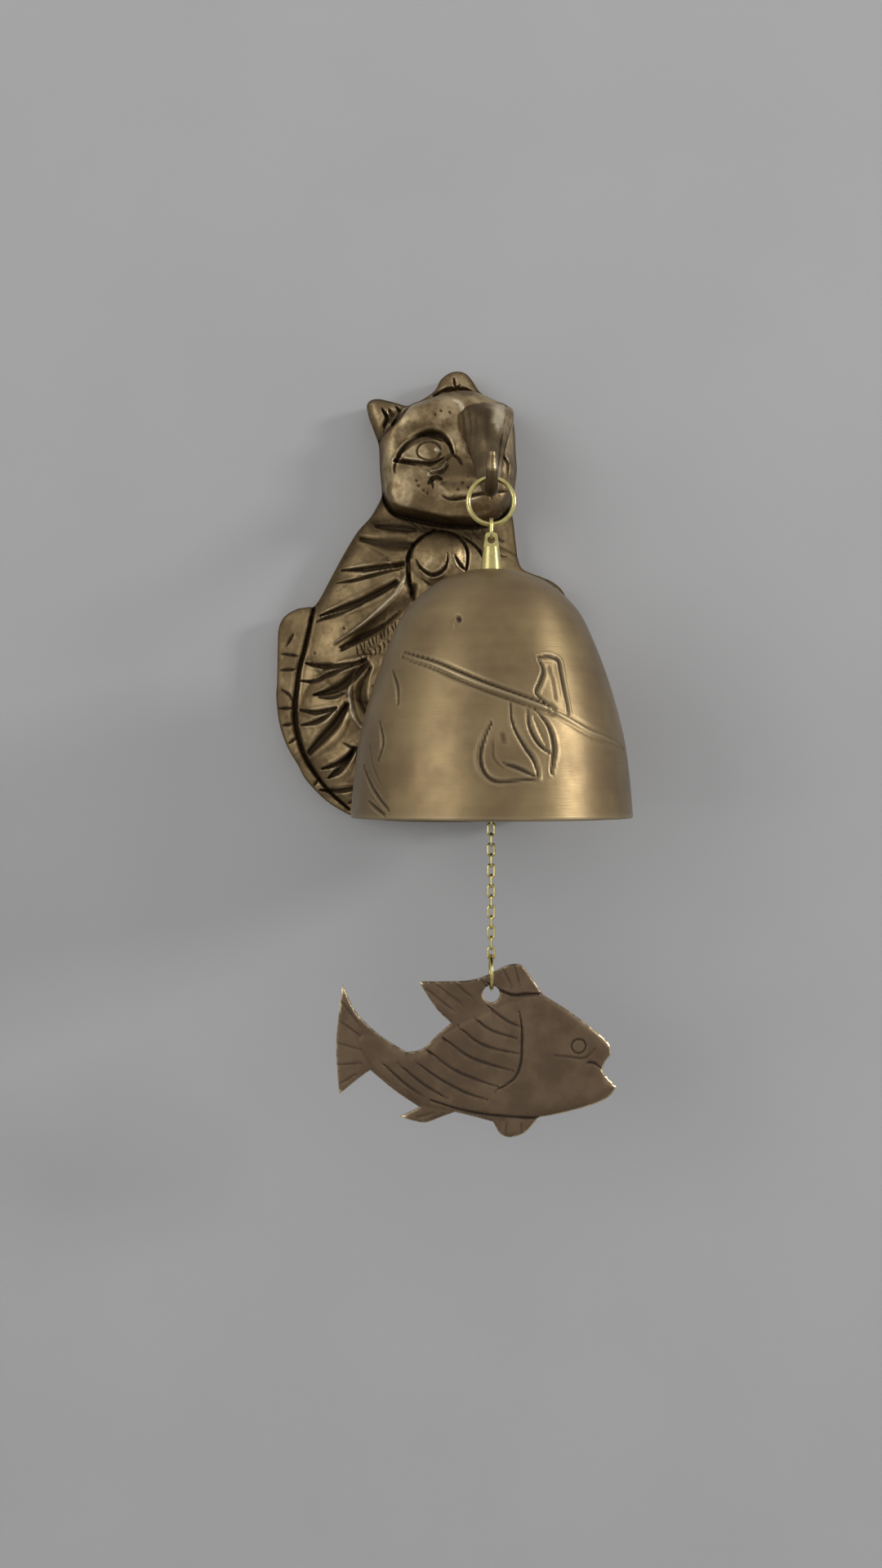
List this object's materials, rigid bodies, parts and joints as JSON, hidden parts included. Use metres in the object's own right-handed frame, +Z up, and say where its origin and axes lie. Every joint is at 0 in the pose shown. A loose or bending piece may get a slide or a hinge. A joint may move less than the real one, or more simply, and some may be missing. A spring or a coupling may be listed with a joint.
{
  "type": "wall-hung wind bell",
  "caption": "Wall-hung wind bell: a cast seated cat with a hooked arm that carries a brass bell, a fine chain and a fish as wind catcher.",
  "frame": {"origin": "mouth of the nail hole in the casting's flat back, on the wall's face", "axes": "+Y into the wall, +Z up, +X to the right as seen from the front"},
  "size_m": [0.0925, 0.084, 0.2008],
  "materials": {
    "cast_brass": "cast satin antique brass with dark recesses",
    "bell_brass": "brushed olive-brown antique brass",
    "bright_brass": "bright drawn brass wire",
    "dark_brass": "dark brown patina, worn bright at the edges"
  },
  "bodies": {
    "plaque": {"cat_plaque": "cast_brass"},
    "ring": {"hook_ring": "bright_brass"},
    "link": {"bell_link": "bright_brass"},
    "bell": {"bell": "bell_brass", "bell_crown": "bright_brass", "crown_nut": "bright_brass"},
    "clapper": {"clapper_rod": "bright_brass", "clapper": "bell_brass"},
    "chain_01": {"chain_link_01": "bright_brass"},
    "chain_02": {"chain_link_02": "bright_brass"},
    "chain_03": {"chain_link_03": "bright_brass"},
    "chain_04": {"chain_link_04": "bright_brass"},
    "chain_05": {"chain_link_05": "bright_brass"},
    "chain_06": {"chain_link_06": "bright_brass"},
    "chain_07": {"chain_link_07": "bright_brass"},
    "chain_08": {"chain_link_08": "bright_brass"},
    "chain_09": {"chain_link_09": "bright_brass"},
    "chain_10": {"chain_link_10": "bright_brass"},
    "chain_11": {"chain_link_11": "bright_brass"},
    "chain_12": {"chain_link_12": "bright_brass"},
    "chain_13": {"chain_link_13": "bright_brass"},
    "chain_14": {"chain_link_14": "bright_brass"},
    "fish_ring": {"fish_ring": "bright_brass"},
    "fish": {"fish": "dark_brass"}
  },
  "joints": [
    {"name": "ring_swing", "type": "hinge", "parent": "plaque", "child": "ring", "pos_m": [0.011, -0.05, -0.0212], "axis": [0, 1, 0], "range_deg": [-35, 35]},
    {"name": "link_swing", "type": "hinge", "parent": "ring", "child": "link", "pos_m": [0.011, -0.05, -0.02995], "axis": [1, 0, 0], "range_deg": [-35, 4]},
    {"name": "bell_swing", "type": "hinge", "parent": "link", "child": "bell", "pos_m": [0.011, -0.05, -0.03355], "axis": [0, 1, 0], "range_deg": [-30, 30]},
    {"name": "clapper_swing", "type": "hinge", "parent": "bell", "child": "clapper", "pos_m": [0.011, -0.05, -0.04932], "axis": [0, 1, 0], "range_deg": [-24, 24]},
    {"name": "chain_swing_01", "type": "hinge", "parent": "clapper", "child": "chain_01", "pos_m": [0.011, -0.05, -0.10072], "axis": [1, 0, 0], "range_deg": [-15, 15]},
    {"name": "chain_swing_02", "type": "hinge", "parent": "chain_01", "child": "chain_02", "pos_m": [0.011, -0.05, -0.103], "axis": [0, 1, 0], "range_deg": [-15, 15]},
    {"name": "chain_swing_03", "type": "hinge", "parent": "chain_02", "child": "chain_03", "pos_m": [0.011, -0.05, -0.1055], "axis": [-1, 0, 0], "range_deg": [-15, 15]},
    {"name": "chain_swing_04", "type": "hinge", "parent": "chain_03", "child": "chain_04", "pos_m": [0.011, -0.05, -0.108], "axis": [0, -1, 0], "range_deg": [-15, 15]},
    {"name": "chain_swing_05", "type": "hinge", "parent": "chain_04", "child": "chain_05", "pos_m": [0.011, -0.05, -0.1105], "axis": [1, 0, 0], "range_deg": [-15, 15]},
    {"name": "chain_swing_06", "type": "hinge", "parent": "chain_05", "child": "chain_06", "pos_m": [0.011, -0.05, -0.113], "axis": [0, 1, 0], "range_deg": [-15, 15]},
    {"name": "chain_swing_07", "type": "hinge", "parent": "chain_06", "child": "chain_07", "pos_m": [0.011, -0.05, -0.1155], "axis": [-1, 0, 0], "range_deg": [-15, 15]},
    {"name": "chain_swing_08", "type": "hinge", "parent": "chain_07", "child": "chain_08", "pos_m": [0.011, -0.05, -0.118], "axis": [0, -1, 0], "range_deg": [-15, 15]},
    {"name": "chain_swing_09", "type": "hinge", "parent": "chain_08", "child": "chain_09", "pos_m": [0.011, -0.05, -0.1205], "axis": [1, 0, 0], "range_deg": [-15, 15]},
    {"name": "chain_swing_10", "type": "hinge", "parent": "chain_09", "child": "chain_10", "pos_m": [0.011, -0.05, -0.123], "axis": [0, 1, 0], "range_deg": [-15, 15]},
    {"name": "chain_swing_11", "type": "hinge", "parent": "chain_10", "child": "chain_11", "pos_m": [0.011, -0.05, -0.1255], "axis": [-1, 0, 0], "range_deg": [-15, 15]},
    {"name": "chain_swing_12", "type": "hinge", "parent": "chain_11", "child": "chain_12", "pos_m": [0.011, -0.05, -0.128], "axis": [0, -1, 0], "range_deg": [-15, 15]},
    {"name": "chain_swing_13", "type": "hinge", "parent": "chain_12", "child": "chain_13", "pos_m": [0.011, -0.05, -0.1305], "axis": [1, 0, 0], "range_deg": [-15, 15]},
    {"name": "chain_swing_14", "type": "hinge", "parent": "chain_13", "child": "chain_14", "pos_m": [0.011, -0.05, -0.133], "axis": [0, 1, 0], "range_deg": [-15, 15]},
    {"name": "fish_ring_swing", "type": "hinge", "parent": "chain_14", "child": "fish_ring", "pos_m": [0.011, -0.05, -0.1355], "axis": [1, 0, 0], "range_deg": [-40, 40]},
    {"name": "fish_swing", "type": "hinge", "parent": "fish_ring", "child": "fish", "pos_m": [0.011, -0.05, -0.14247], "axis": [0, 1, 0], "range_deg": [-28, 45]}
  ]
}
